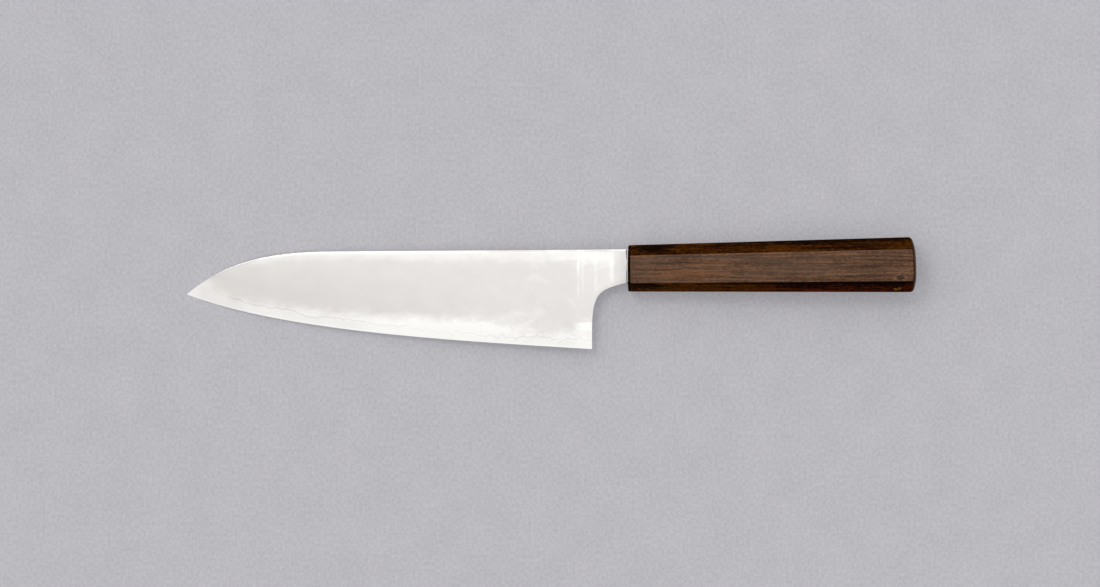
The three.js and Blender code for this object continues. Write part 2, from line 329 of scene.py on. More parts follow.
def handle_sizes(x):
    share = x / HANDLE_LENGTH
    bottom = -FRONT_HEIGHT / 2 - UNDERSIDE_FALL * share
    return {
        "bottom": bottom,
        "top": bottom + lerp(FRONT_HEIGHT, BUTT_HEIGHT, share),
        "half": lerp(FRONT_WIDTH, BUTT_WIDTH, share) / 2,
        "spine_chamfer": lerp(FRONT_SPINE_CHAMFER, BUTT_SPINE_CHAMFER, share),
        "edge_chamfer": lerp(FRONT_EDGE_CHAMFER, BUTT_EDGE_CHAMFER, share),
    }


PITCH = math.atan2(handle_sizes(FRONT_ROUNDING)["half"] - TIP_HALF, FRONT_ROUNDING - TIP_X)
SIN, COS = math.sin(PITCH), math.cos(PITCH)
core_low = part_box("blade_core")[0] / MM
SHIFT = (
    core_low.x - (TIP_X * COS - TIP_HALF * SIN),
    core_low.y - HEEL[1],
    core_low.z - (TIP_X * SIN - TIP_HALF * COS),
)


def place(point):
    x, y, z = point
    return Vector((x * COS - z * SIN + SHIFT[0], y + SHIFT[1], x * SIN + z * COS + SHIFT[2])) * MM


# Mesh building

def mirrored(points):
    return [(x, y, -z) for x, y, z in reversed(points)]


def loft(name, rings, ring_shaped=False):
    """Closed mesh through rings of points in the knife's frame. The ends are closed with fans,
    or joined to each other where the body is ring shaped."""
    count = len(rings[0])
    points = [p for ring in rings for p in ring]
    faces = []
    pairs = len(rings) if ring_shaped else len(rings) - 1
    for r in range(pairs):
        a, b = r * count, (r + 1) % len(rings) * count
        for i in range(count):
            j = (i + 1) % count
            faces.append((a + i, a + j, b + j, b + i))
    if not ring_shaped:
        last = len(points) - count
        for ring in (rings[0], rings[-1]):
            points.append(tuple(np.mean(ring, axis=0)))
        for i in range(count):
            j = (i + 1) % count
            faces.append((len(points) - 2, j, i))
            faces.append((len(points) - 1, last + i, last + j))
    mesh = bpy.data.meshes.new(name)
    mesh.from_pydata([place(p) for p in points], [], faces)
    mesh.polygons.foreach_set("use_smooth", [True] * len(mesh.polygons))
    mesh.set_sharp_from_angle(angle=SHARP_ANGLE)
    mesh.update()
    piece = bpy.data.objects.new(name, mesh)
    bpy.context.scene.collection.objects.link(piece)
    return piece, points


def write_blade_fields(piece, points):
    """What the steel's polish follows. In millimetres: distances above the lamination line, the edge
    and the choil and below the spine, and how far inside the polish of the edge and of the spine a
    point is. Then the tones."""
    fields = {}
    for x, y, _ in points:
        low, high = edge_y(x), spine_y(x)
        share = (y - low) / max(high - low, TIP_BLUNTNESS)
        values = {
            "above_line": (share - line_share(x)) * (high - low),
            "above_edge": y - low,
            "above_choil": y - choil_y(x) if x > HEEL_X else high - low,
            "below_spine": high - y,
            "edge_polish": along_heel(EDGE_POLISH, x) - (y - low),
            "spine_polish": along_heel(SPINE_POLISH, x) - (high - y),
            "edge_tone": along_heel(EDGE_TONES, x),
            "spine_tone": along_heel(SPINE_TONES, x),
            "rim_tone": along_heel(RIM_TONES, x),
            "line_tone": along_heel(LINE_TONES, x),
            "middle_tone": lerp(
                along_heel(LOW_TONES, x),
                along_heel(HIGH_TONES, x),
                min(max((share - DARKEST_SHARE) / (1 - DARKEST_SHARE), 0), 1),
            ),
        }
        for name, value in values.items():
            fields.setdefault(name, []).append(value)
    for name, values in fields.items():
        field = piece.data.attributes.new(name, "FLOAT", "POINT")
        field.data.foreach_set("value", np.array(values, np.float32))


# Blade stations: lines across the blade from its lower border up to its spine

def blade_station(bottom, top):
    bottom_share = height_share(*bottom)
    return {
        "bottom": np.array(bottom),
        "top": np.array(top),
        "line": (line_share(bottom[0]) - bottom_share) / (1 - bottom_share),
        "core": core_half,
        "cladding": cladding_half,
    }


def tang_station(x):
    return {
        "bottom": np.array((x, TANG_CENTRE - tang_half_height(x))),
        "top": np.array((x, TANG_CENTRE + tang_half_height(x))),
        "line": 0,
        "core": lambda _x, _y: CORE_THICKNESS / 2,
        "cladding": lambda _x, _y: tang_half_thickness(x),
    }


def stations_from(start_x):
    stations = []
    for i in range(BLADE_STEPS + 1):
        share = (i / BLADE_STEPS) ** TIP_CROWDING
        bottom_x = lerp(start_x, HEEL_X, share)
        top_x = lerp(start_x, HEEL_X - HEEL_LEAN, share)
        stations.append(blade_station((bottom_x, edge_y(bottom_x)), (top_x, spine_y(top_x))))
    steps = WALL_STEPS + CHOIL_STEPS
    for i in range(1, steps + 1):
        if i <= WALL_STEPS:
            bottom = (HEEL_X, lerp(HEEL[1], WALL_TOP[1], i / WALL_STEPS))
        else:
            bottom = tuple(choil[round((i - WALL_STEPS) / CHOIL_STEPS * (CURVE_SAMPLES - 1))])
        top_x = lerp(HEEL_X - HEEL_LEAN, SHOULDER_X, i / steps)
        station = blade_station(bottom, (top_x, spine_y(top_x)))
        if station["line"] < -LEAST_ROW_SHARE:
            stations.append(station)
    for i in range(TANG_STEPS + 1):
        stations.append(tang_station(lerp(SHOULDER_X + SHOULDER_RUN, TANG_END_X, i / TANG_STEPS)))
    return stations


def on_station(station, share, half, lowered=0):
    x, y = lerp(station["bottom"], station["top"], share)
    return x, y, half(x, y) - lowered


def core_ring(station):
    line = min(max(station["line"], LEAST_ROW_SHARE), 1 - LEAST_ROW_SHARE)
    upper = [on_station(station, 1, station["core"])]
    for row in range(BEVEL_ROWS + 1):
        share = line * (1 - row / BEVEL_ROWS) ** EDGE_CROWDING
        upper.append(on_station(station, share, station["core"]))
    return upper + mirrored(upper)


def cladding_ring(station):
    """Left cladding's section, from the spine's rounded corner down to the lamination line."""
    end = max(station["line"], 0)
    length = np.linalg.norm(station["top"] - station["bottom"])
    inside = CORE_THICKNESS / 2 + BOND_GAP
    thickness = station["cladding"](*station["top"]) - inside
    rounding = min(SPINE_ROUNDING, thickness / 2, (1 - end) * length / FACE_PER_ROUNDING)
    ring = [on_station(station, 1, lambda _x, _y: inside)]
    for i in range(ARC_STEPS + 1):
        angle = math.pi / 2 * (1 - i / ARC_STEPS)
        share = 1 - rounding * (1 - math.sin(angle)) / length
        ring.append(on_station(station, share, station["cladding"], rounding * (1 - math.cos(angle))))
    for row in range(1, FACE_ROWS + 1):
        share = lerp(1 - rounding / length, end, row / FACE_ROWS)
        ring.append(on_station(station, share, station["cladding"]))
    inside_low = CORE_THICKNESS / 2 + (FLUSH_GAP if station["line"] > 0 else BOND_GAP)
    ring.append(on_station(station, end, lambda _x, _y: inside_low))
    return ring


def make_blade():
    core, core_points = loft("core_body", [core_ring(s) for s in stations_from(TIP_X)])
    write_blade_fields(core, core_points)
    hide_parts("blade_core")
    rings = [cladding_ring(s) for s in stations_from(NOSE_X + NOSE_BLUNTNESS)]
    left, left_points = loft("left_cladding_body", rings)
    write_blade_fields(left, left_points)
    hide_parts("left_cladding")
    right, right_points = loft("right_cladding_body", [mirrored(ring) for ring in rings])
    write_blade_fields(right, right_points)
    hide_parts("right_cladding")
    return core, left, right


# Handle and seal

def rounded_corner(before, corner, after, reach):
    """Points of a small arc in place of a corner."""
    start = corner + (before - corner) / np.linalg.norm(before - corner) * reach
    end = corner + (after - corner) / np.linalg.norm(after - corner) * reach
    shares = [i / ARC_STEPS for i in range(ARC_STEPS + 1)]
    return [lerp(lerp(start, corner, t), lerp(corner, end, t), t) for t in shares]


def soft_ring(upper, reach):
    """Ring through the points of one side and their mirror images, with an arc at each of them and
    more points along the straight stretches."""
    corners = np.array(upper + mirrored(upper), float)
    count = len(corners)
    arcs = []
    for i in range(count):
        arcs.append(rounded_corner(corners[i - 1], corners[i], corners[(i + 1) % count], reach))
    ring = []
    for i, arc in enumerate(arcs):
        following = arcs[(i + 1) % count]
        ring += arc
        ring += [lerp(arc[-1], following[0], step / FACET_STEPS) for step in range(1, FACET_STEPS)]
    return [tuple(point) for point in ring]


def handle_section(x):
    s = handle_sizes(x)
    upper = [
        (x, s["top"], s["half"] - s["spine_chamfer"]),
        (x, s["top"] - s["spine_chamfer"], s["half"]),
        (x, s["bottom"] + s["edge_chamfer"], s["half"]),
        (x, s["bottom"], s["half"] - s["edge_chamfer"]),
    ]
    return soft_ring(upper, FACET_ROUNDING)


def handle_ring(x, inset, tilt=0, bow=0):
    """Section drawn in by an inset, leaning by a tilt and bowed back at its top and bottom."""
    section = handle_section(x)
    s = handle_sizes(x)
    middle = np.array((x, (s["bottom"] + s["top"]) / 2, 0))
    half_height = s["top"] - middle[1]
    kept = 1 - inset / half_height
    ring = []
    for i, point in enumerate(section):
        rise = point[1] - middle[1]
        fall = bow * abs(rise / half_height) ** BOW_FULLNESS * kept ** (BOW_FULLNESS - 1)
        moved_x = x - rise * math.tan(tilt) - fall
        moved = point if moved_x == x else handle_section(moved_x)[i]
        ring.append(tuple(lerp(middle, np.array(moved), kept)))
    return ring


def pocket_ring(x, margin):
    """Section of the tang's pocket, with as many points as the handle's section."""
    half = tang_half_height(x) + margin
    depth = tang_half_thickness(x) + margin
    upper = [
        (x, TANG_CENTRE + half, depth - POCKET_CHAMFER),
        (x, TANG_CENTRE + half - POCKET_CHAMFER, depth),
        (x, TANG_CENTRE - half + POCKET_CHAMFER, depth),
        (x, TANG_CENTRE - half, depth - POCKET_CHAMFER),
    ]
    return soft_ring(upper, POCKET_ROUNDING)


def make_handle():
    rings = [pocket_ring(POCKET_END_X, FILL_MARGIN + FIT_GAP), pocket_ring(0, FILL_MARGIN + FIT_GAP)]
    for i in range(ROUNDING_STEPS + 1):
        angle = i / ROUNDING_STEPS * math.pi / 2
        x = FRONT_ROUNDING * (1 - math.cos(angle))
        rings.append(handle_ring(x, FRONT_ROUNDING * (1 - math.sin(angle))))
    for i in range(ROUNDING_STEPS + 1):
        angle = i / ROUNDING_STEPS * math.pi / 2
        x = HANDLE_LENGTH - RIM_ROUNDING * (1 - math.sin(angle))
        rings.append(handle_ring(x, RIM_ROUNDING * (1 - math.cos(angle)), BUTT_TILT, BUTT_BOW))
    butt_half = BUTT_HEIGHT / 2
    for i in range(1, BUTT_STEPS + 1):
        outward = lerp(1, BUTT_CENTRE_SHARE, i / BUTT_STEPS)
        inset = butt_half - (butt_half - RIM_ROUNDING) * outward
        rings.append(handle_ring(HANDLE_LENGTH, inset, BUTT_TILT, BUTT_BOW))
    handle, _ = loft("handle_wood_body", rings)
    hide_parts("handle_body")
    return handle


def make_seal():
    inner = FIT_GAP
    outer = FILL_MARGIN
    rings = [pocket_ring(SEAL_DEPTH, inner), pocket_ring(SEAL_FRONT_X + SEAL_ROUNDING, inner)]
    for i in range(ARC_STEPS + 1):
        angle = math.pi * i / ARC_STEPS
        middle = (inner + outer) / 2
        swell = (outer - inner) / 2
        x = SEAL_FRONT_X + SEAL_ROUNDING * (1 - math.sin(angle))
        rings.append(pocket_ring(x, middle - swell * math.cos(angle)))
    rings.append(pocket_ring(SEAL_DEPTH, outer))
    seal, _ = loft("mouth_seal_bead", rings, ring_shaped=True)
    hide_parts("mouth_seal")
    return seal


# Materials
NOISE_MIDDLE = 0.5


class Graph:
    """Small helper to write a node tree line by line."""

    # Sockets of the Mix node for numbers and for colours: the two that it mixes, and the result
    NUMBER_SOCKETS = (2, 3, 0)
    COLOR_SOCKETS = (6, 7, 2)

    def __init__(self, tree):
        self.tree = tree
        tree.nodes.clear()

    def node(self, kind, inputs=None, **settings):
        made = self.tree.nodes.new("ShaderNode" + kind)
        for key, value in settings.items():
            setattr(made, key, value)
        for key, value in (inputs or {}).items():
            if isinstance(value, bpy.types.NodeSocket):
                self.tree.links.new(value, made.inputs[key])
            else:
                made.inputs[key].default_value = value
        return made

    def math(self, operation, first, second=0.0):
        return self.node("Math", {0: first, 1: second}, operation=operation).outputs[0]

    def add(self, first, *others):
        for other in others:
            first = self.math("ADD", first, other)
        return first

    def less(self, first, second):
        return self.math("SUBTRACT", first, second)

    def times(self, first, *others):
        for other in others:
            first = self.math("MULTIPLY", first, other)
        return first

    def off(self, value, middle):
        """How far a value is from a middle."""
        return self.math("ABSOLUTE", self.less(value, middle))

    def step(self, value, low, high, to_low=0.0, to_high=1.0, course="SMOOTHSTEP"):
        """Result that goes from to_low to to_high while the value goes from low to high."""
        inputs = {"Value": value, "From Min": low, "From Max": high, "To Min": to_low, "To Max": to_high}
        return self.node("MapRange", inputs, interpolation_type=course).outputs["Result"]

    def field(self, name):
        return self.node("Attribute", attribute_name=name).outputs["Fac"]

    def noise(self, where, stretch, detail=3.0, roughness=0.55, distortion=0.0):
        """Noise from 0 to 1 whose size is set by a stretch for each axis."""
        scaled = self.node("Mapping", {"Vector": where, "Scale": stretch}).outputs[0]
        inputs = {"Vector": scaled, "Scale": 1.0, "Detail": detail, "Roughness": roughness}
        inputs["Distortion"] = distortion
        return self.node("TexNoise", inputs).outputs["Fac"]

    def ramp(self, value, stops):
        """Colour for a value, from stops of (value, colour)."""
        made = self.node("ValToRGB", {"Fac": value})
        points = made.color_ramp.elements
        while len(points) < len(stops):
            points.new(1)
        for point, (position, color) in zip(points, stops):
            point.position = position
            point.color = (*color, 1)
        return made.outputs["Color"]

    def between(self, share, first, second):
        """Number that goes from the first to the second as the share grows from 0 to 1."""
        a, b, result = self.NUMBER_SOCKETS
        made = self.node("Mix", {0: share, a: first, b: second}, data_type="FLOAT")
        return made.outputs[result]

    def mix(self, share, first, second):
        """The same for colours."""
        a, b, result = self.COLOR_SOCKETS
        if not isinstance(second, bpy.types.NodeSocket):
            second = (*second, 1)
        made = self.node("Mix", {0: share, a: first, b: second}, data_type="RGBA")
        return made.outputs[result]

    def bump(self, height, strength, distance):
        inputs = {"Height": height, "Strength": strength, "Distance": distance}
        return self.node("Bump", inputs).outputs[0]


def new_material(name):
    material = bpy.data.materials.new(name)
    material.use_nodes = True
    return material, Graph(material.node_tree)


def finish_material(g, inputs):
    shader = g.node("BsdfPrincipled", inputs)
    g.node("OutputMaterial", {"Surface": shader.outputs[0]})


def object_place(g):
    return g.node("TexCoord").outputs["Object"]


def knife_place(g):
    """Place in the knife's own frame, in metres, so that grain runs along the handle."""
    inputs = {"Vector": object_place(g), "Location": Vector(SHIFT) * MM, "Rotation": (0, -PITCH, 0)}
    return g.node("Mapping", inputs, vector_type="TEXTURE").outputs[0]


def in_mm(g, where):
    """X, Y and Z of a place, in millimetres."""
    axes = g.node("SeparateXYZ", {0: where}).outputs
    return [g.times(axis, 1 / MM) for axis in axes]


def near_point(g, where, at, stretch):
    """Distance from a point in the knife's frame, in mm, counted more along the stretched axes."""
    scaled = Vector(a * b * MM for a, b in zip(at, stretch))
    moved = g.node("Mapping", {"Vector": where, "Scale": stretch, "Location": -scaled}).outputs[0]
    length = g.node("VectorMath", {0: moved}, operation="LENGTH").outputs["Value"]
    return g.times(length, 1 / MM)


def spot(g, where, at, stretch, border):
    """Share of a spot round a point in the knife's frame."""
    return g.step(near_point(g, where, at, stretch), *border)


# Below, a smooth step is written as the two values that it runs between and, where they aren't 0 and 1,
# its results there. A pattern of noise has a stretch for each axis, per metre. Other sizes are in mm.

# Steel
DARK_STEEL = (0.470, 0.452, 0.438)
BRIGHT_STEEL = (0.763, 0.749, 0.726)
POLISH = {
    "clouds": {"stretch": (110, 190, 40), "detail": 4, "roughness": 0.6},
    "wisps": {"stretch": (420, 420, 60), "roughness": 0.6},
    "smears": {"stretch": (60, 110, 20), "detail": 4, "roughness": 0.65, "distortion": 0.8},
    "gaps": {"stretch": (330, 170, 40), "roughness": 0.6},
    "waves": {"stretch": (350, 30, 20), "detail": 2, "roughness": 0.6},
}
# How far clouds and wisps shift the borders of the polish, the spine's share, and the calmer tip
CLOUD_SHIFT = 7.0
WISP_SHIFT = 2.6
SPINE_SHARE = 0.8
CALM_TIP = (-110, -50, 0.55, 1.0)
# Borders of the polish at the edge and the spine, the spine's rim, and the glow before the edge's border
EDGE_BORDER = (-3.2, 2.6)
SPINE_BORDER = (-2.4, 1.8)
SPINE_RIM = (0.5, 1.5, 1.0, 0.0)
EDGE_GLOW = (-8.0, 0.0, 0.0, 0.07)
# The painted highlight along the edge and the painted shade at the choil, by the distance from them
PAINTED_EDGE_HIGHLIGHT = (0.2, 1.3, 0.13, 0.0)
CHOIL_SHADE = (0.2, 2.6, 0.2, 0.0)
# Pale spots, how many are left where the polish is calm, and where they begin before the edge's border
PALE_SPOTS = (0.04, 0.2, 0.0, 0.16)
CALM_SPOTS = (0.6, 1.0, 0.3, 1.0)
SPOTS_FROM = (-8.0, -1.0)
# Faint smears, and where they fade out towards the tip
FAINT_SMEARS = (0.53, 0.68, 0.0, 0.16)
SMEARS_FROM = (-80, -45)
CLOUD_TONE = 0.12
# Pale streaks across the neck: place along the knife, half width, strength. Then their lower end, their
# gaps and how far they wander
NECK_STREAKS = ((-22.3, 0.9, 0.34), (-20.3, 0.9, 0.16), (-14.6, 1.5, 0.16), (-7.4, 1.8, 0.26))
STREAKS_FROM_Y = (-16, -6)
STREAK_GAPS = (0.34, 0.62, 0.1, 1.3)
STREAK_WANDER = 0.8
# Clear patch of polish at the heel: its left, upper and lower borders, how far they wander, its brightness
PATCH_LEFT = (-25.3, -20.5)
PATCH_TOP = (-24.6, -23.4, 1.0, 0.0)
PATCH_BOTTOM = (-30.9, -26.4)
PATCH_WANDER = 2.5
PATCH_TOP_WANDER = 0.3
PATCH_TONE = 0.88
# Lamination line: how far clouds and waves shift it, and its darkness. Then the faint layers along it:
# their pattern per mm, their darkness, and where they fade out away from a middle
LINE_SHIFT = 0.25
LINE_WAVES = (-130, -85, 2.8, 5.5)
LINE_DARKNESS = (0.05, 0.4, 0.46, 0.0)
LAYERS = {"stretch": (0.07, 1.5, 1), "detail": 2}
LAYER_DARKNESS = (0.42, 0.62, 0.13, 0.0)
LAYERS_MIDDLE = 0.4
LAYERS_FADE = (1.2, 3.6, 1.0, 0.0)
# Painted shade in the gap between neck and seal: where it begins, and its share away from its faintest height
GAP_SHADE_COLOR = (0.010, 0.008, 0.007)
NECK_GAP_SHADE = (SHOULDER_X - 0.1, SHOULDER_X + 0.05)
GAP_LEAST_SHADE_Y = 1.4
GAP_SHADE_SPREAD = (1.5, 3.4, 0.3, 1.0)
# Roughness that haze, stone marks and clouds add, and the finish of the two steels
HAZE_ROUGHNESS = 0.07
MARK_ROUGHNESS = 0.1
CLOUD_ROUGHNESS = 0.12
MARK_DETAIL = 2
MARK_DEPTH = 0.05 * MM
CLADDING_FINISH = {"least_roughness": 0.2, "mark_stretch": (30, 5200, 5200), "mark_strength": 0.05}
CORE_FINISH = {"least_roughness": 0.17, "mark_stretch": (3800, 120, 120), "mark_strength": 0.04}


def gap_shade_share(g, height):
    """Share of painted shade along the gap at the neck: less in its middle."""
    return g.step(g.off(height, GAP_LEAST_SHADE_Y), *GAP_SHADE_SPREAD)


def neck_streaks(g, where, wisps):
    """Strength of the polish streaks near the neck."""
    along, height, _ = in_mm(g, where)
    along = g.add(along, g.times(wisps, STREAK_WANDER))
    total = 0.0
    for centre, half, strength in NECK_STREAKS:
        total = g.add(total, g.step(g.off(along, centre), 0.0, half, strength, 0.0))
    gaps = g.step(g.noise(where, **POLISH["gaps"]), *STREAK_GAPS)
    return g.times(total, g.step(height, *STREAKS_FROM_Y), gaps)


def heel_patch(g, where, wisps):
    """Share of the clear patch at the heel: crisp above, soft on its left and below."""
    along, height, _ = in_mm(g, where)
    wander = g.times(wisps, PATCH_WANDER)
    height = g.add(height, g.times(wander, PATCH_TOP_WANDER))
    inside = g.step(g.add(along, wander), *PATCH_LEFT)
    return g.times(g.step(height, *PATCH_TOP), g.step(height, *PATCH_BOTTOM), inside)


def line_layers(g, where, cloudy):
    """Darkening of the lamination line and of faint layers that run along it."""
    along = in_mm(g, where)[0]
    waves = g.less(g.noise(where, **POLISH["waves"]), NOISE_MIDDLE)
    waves = g.times(waves, g.step(along, *LINE_WAVES))
    above = g.add(g.field("above_line"), g.times(cloudy, LINE_SHIFT), waves)
    line = g.step(g.math("ABSOLUTE", above), *LINE_DARKNESS)
    beside = g.node("CombineXYZ", {0: along, 1: above}).outputs[0]
    layers = g.step(g.noise(beside, **LAYERS), *LAYER_DARKNESS)
    layers = g.times(layers, g.step(g.off(above, LAYERS_MIDDLE), *LAYERS_FADE))
    return g.times(g.add(line, layers), g.field("line_tone"))


def steel_tone(g, where):
    """Brightness of the polished steel: a hazy middle with a painted reflection, darker lower down, between
    cloudy bright bands at the edge and the spine, with painted highlight and shade, the lamination line and
    streaks at the neck. Also the share of the edge's band, and clouds."""
    clouds = g.less(g.noise(where, **POLISH["clouds"]), NOISE_MIDDLE)
    wisps = g.less(g.noise(where, **POLISH["wisps"]), NOISE_MIDDLE)
    along = in_mm(g, where)[0]
    calm = g.step(along, *CALM_TIP)
    cloudy = g.times(g.add(g.times(clouds, CLOUD_SHIFT), g.times(wisps, WISP_SHIFT)), calm)
    edge_depth = g.add(g.field("edge_polish"), cloudy)
    spine_depth = g.add(g.field("spine_polish"), g.times(cloudy, SPINE_SHARE))
    near_edge = g.step(edge_depth, *EDGE_BORDER)
    # Spine's rim with painted highlight and painted shade; the middle with a painted reflection, darker lower
    # down
    rim = g.step(g.field("below_spine"), *SPINE_RIM)
    spine_tone = g.between(rim, g.field("spine_tone"), g.field("rim_tone"))
    tone = g.between(g.step(spine_depth, *SPINE_BORDER), g.field("middle_tone"), spine_tone)
    tone = g.add(tone, g.step(edge_depth, *EDGE_GLOW))
    tone = g.between(near_edge, tone, g.field("edge_tone"))
    tone = g.between(heel_patch(g, where, wisps), tone, PATCH_TONE)
    # Painted highlight along the edge
    tone = g.add(tone, g.step(g.field("above_edge"), *PAINTED_EDGE_HIGHLIGHT))
    spots = g.times(g.step(wisps, *PALE_SPOTS), g.step(calm, *CALM_SPOTS), g.step(edge_depth, *SPOTS_FROM))
    smears = g.step(g.noise(where, **POLISH["smears"]), *FAINT_SMEARS)
    smears = g.times(smears, g.step(along, *SMEARS_FROM))
    tone = g.add(tone, spots, neck_streaks(g, where, wisps), smears, g.times(clouds, CLOUD_TONE))
    tone = g.less(tone, g.step(g.field("above_choil"), *CHOIL_SHADE))
    tone = g.math("MINIMUM", tone, 1.0)
    return g.less(tone, line_layers(g, where, cloudy)), near_edge, clouds


def steel_material(name, least_roughness, mark_stretch, mark_strength):
    """Steel whose stone marks are noise of a given stretch."""
    material, g = new_material(name)
    where = knife_place(g)
    along, height, _ = in_mm(g, where)
    tone, near_edge, clouds = steel_tone(g, where)
    color = g.ramp(tone, ((0.0, DARK_STEEL), (1.0, BRIGHT_STEEL)))
    # Painted shade in the gap between the neck and the seal, less at the middle of its height
    painted_gap_shade = g.times(g.step(along, *NECK_GAP_SHADE), gap_shade_share(g, height))
    marks = g.noise(where, mark_stretch, detail=MARK_DETAIL)
    haze = g.times(g.less(1.0, near_edge), HAZE_ROUGHNESS)
    rough = g.add(haze, g.times(marks, MARK_ROUGHNESS), g.times(clouds, CLOUD_ROUGHNESS), least_roughness)
    inputs = {"Base Color": g.mix(painted_gap_shade, color, GAP_SHADE_COLOR), "Metallic": 1.0, "Roughness": rough}
    inputs["Normal"] = g.bump(marks, mark_strength, MARK_DEPTH)
    finish_material(g, inputs)
    return material


# Wood. Its patterns run along the handle
WOOD_PATTERNS = {
    "broad": {"stretch": (11, 230, 230), "detail": 4, "roughness": 0.6, "distortion": 0.5},
    "fine": {"stretch": (34, 1250, 1250), "detail": 4, "roughness": 0.65},
    "hair": {"stretch": (600, 1800, 1800), "roughness": 0.65},
    "dashes": {"stretch": (260, 900, 900), "detail": 2, "roughness": 0.6},
    "zones": {"stretch": (52, 100, 100), "detail": 5, "roughness": 0.65},
    "tint": {"stretch": (24, 330, 330), "roughness": 0.6},
    "pores": {"stretch": (230, 1900, 1900), "detail": 2},
    "drift": {"stretch": (40, 130, 130)},
}
# Range of a pattern that counts, its share of the grain, and how much more or less it varies on the
# broad facets with painted sheen and on the chamfers with painted shade
GRAIN_RANGE = (0.3, 0.7)
GRAIN_SHARES = {"broad": 0.18, "fine": 0.27, "hair": 0.3, "dashes": 0.14, "zones": 0.2}
PAINTED_SHEEN_SHARES = {"fine": 0.34, "hair": 0.16, "dashes": -0.02}
PAINTED_SHADE_SHARES = {"fine": 0.22, "hair": 0.3, "dashes": 0.14}
# Colours of the wood, from dark to light along the grain: paler as painted sheen, darker as painted shade,
# and shaded below
PAINTED_SHEEN_WOOD = (
    (0.14, (0.016, 0.0075, 0.0045)),
    (0.42, (0.054, 0.0230, 0.0112)),
    (0.58, (0.076, 0.0330, 0.0159)),
    (0.84, (0.138, 0.0650, 0.0338)),
)
PAINTED_SHADE_WOOD = (
    (0.16, (0.004, 0.0008, 0.0003)),
    (0.42, (0.025, 0.0060, 0.0006)),
    (0.60, (0.043, 0.0122, 0.0010)),
    (0.90, (0.088, 0.0265, 0.0020)),
)
SHADED_WOOD = (
    (0.20, (0.0015, 0.0003, 0.0002)),
    (0.50, (0.0155, 0.0020, 0.0004)),
    (0.85, (0.072, 0.0115, 0.0009)),
)
WARM_WOOD = (0.145, 0.050, 0.0140)
COOL_WOOD = (0.056, 0.0350, 0.0240)
GOLD_WOOD = (0.105, 0.037, 0.004)
BUTT_HIGHLIGHT_WOOD = (0.072, 0.024, 0.005)
LATE_WOOD = (0.010, 0.0030, 0.0010)
BLACK_WOOD = (0.003, 0.0008, 0.0004)
KNOT_WOOD = (0.006, 0.0045, 0.0040)
KNOT_RIM_WOOD = (0.25, 0.130, 0.070)
FLECK_WOOD = (0.20, 0.065, 0.008)
PORE_WOOD = (0.012, 0.0048, 0.0024)
# Broad facets, which get the painted sheen: how squarely they face up or sideways, and how far back from
# the front they begin
FACES_UP = (0.86, 0.95)
FACES_SIDEWAYS = (0.97, 0.995)
FACETS_FROM = (0.95, 1.4)
# Broad facets with painted sheen: a dark line, a warm zone, warm streaks, the fine lines that these follow,
# where they calm down along the handle, and cool streaks
DARK_LINE = {"at": (38, 2.6, 9), "stretch": (0.02, 1, 0.05), "border": (0.1, 0.6, 0.3, 0.0)}
WARM_ZONE = {"at": (24, -3.4, 9), "stretch": (0.28, 1, 0.3), "border": (1.0, 6.5, 0.4, 0.0)}
WARM_STREAKS = (0.48, 0.64, 0.0, 0.6)
WARM_LINES = (0.34, 0.6)
CALMER_TINT = (55, 105, 1.0, 0.3)
COOL_STREAKS = (0.34, 0.54, 0.7, 0.0)
# Chamfers, darker as painted shade: a golden zone and its fine lines, how far down and along the handle
# the painted shade below begins, and how it lightens towards its lower border
GOLD_ZONE = {"at": (108, 9.8, 8.4), "stretch": (0.12, 0.6, 0.3), "border": (0.6, 2.4, 0.25, 0.0)}
GOLD_LINES = (0.38, 0.62)
UNDERSIDE = (2.0, 5.0)
UNDERSIDE_FROM = (45, 75)
LIT_BELOW = (6.4, 9.2, -0.2, 0.08)
# Black streaks near the front, and how ragged they are
BLACK_STREAKS_AT = ((10.5, 8.9, 6.2), (8.0, -7.0, 7.6))
STREAK_STRETCH = (0.15, 0.7, 0.3)
STREAK_BORDER = (0.7, 1.9, 0.9, 0.0)
STREAK_RAGGED = 2.5
# Dark lines along two borders of the chamfers: where along the handle they begin, and how wide they are
BLACK_LINE_FROM = (20, 50)
BLACK_LINE = (0.5, 1.5, 0.92, 0.0)
LINE_RAGGED = 0.3
DARK_RIM_FROM = (25, 75)
DARK_RIM = (0.4, 2.6, 0.8, 0.0)
# Ends of the handle, by how squarely they face the butt: a painted highlight in brown at the butt, end grain
# and the paler front face. Then the black rim of painted shade at the front, by the distance from the front
BUTT_HIGHLIGHT = (0.2, 0.7, 0.0, 0.6)
END_GRAIN = (0.7, 0.95)
PALER_FACE = (-0.98, -0.85, 0.6, 1.0)
FRONT_RIM_SHADE = (0.9, 1.5, 0.92, 0.0)
# Growth rings: the tree's middle, how far they wander, their years per mm outwards, and the late wood
RINGS_CENTRE = (0, -34, -14)
ACROSS_GRAIN = (0, 1, 1)
RINGS_WANDER = 3.5
RING_YEARS = {"stretch": (0.55, 1, 1), "roughness": 0.7}
LATE_SHARE = (0.42, 0.62, 0.0, 0.75)
# The knot and its rim, and two flecks in dark wood
KNOT_AT = (121.0, -4.1, 10)
KNOT_STRETCH = (0.58, 1, 0.6)
KNOT_RAGGED = 0.9
KNOT_BORDER = (0.75, 1.2, 0.9, 0.0)
KNOT_RIM_RADIUS = 1.5
KNOT_RIM = (0.1, 0.42, 0.6, 0.0)
KNOT_RIM_GAPS = (0.45, 0.6)
FLECKS_AT = ((118.9, -9.3, 6.9), (120.5, -9.0, 6.9))
FLECK_STRETCH = (0.7, 1, 0.6)
FLECK_RAGGED = 2.4
FLECK_BORDER = (0.35, 0.8, 1.0, 0.0)
FLECK_SURROUND = (0.6, 1.9, 0.75, 0.0)
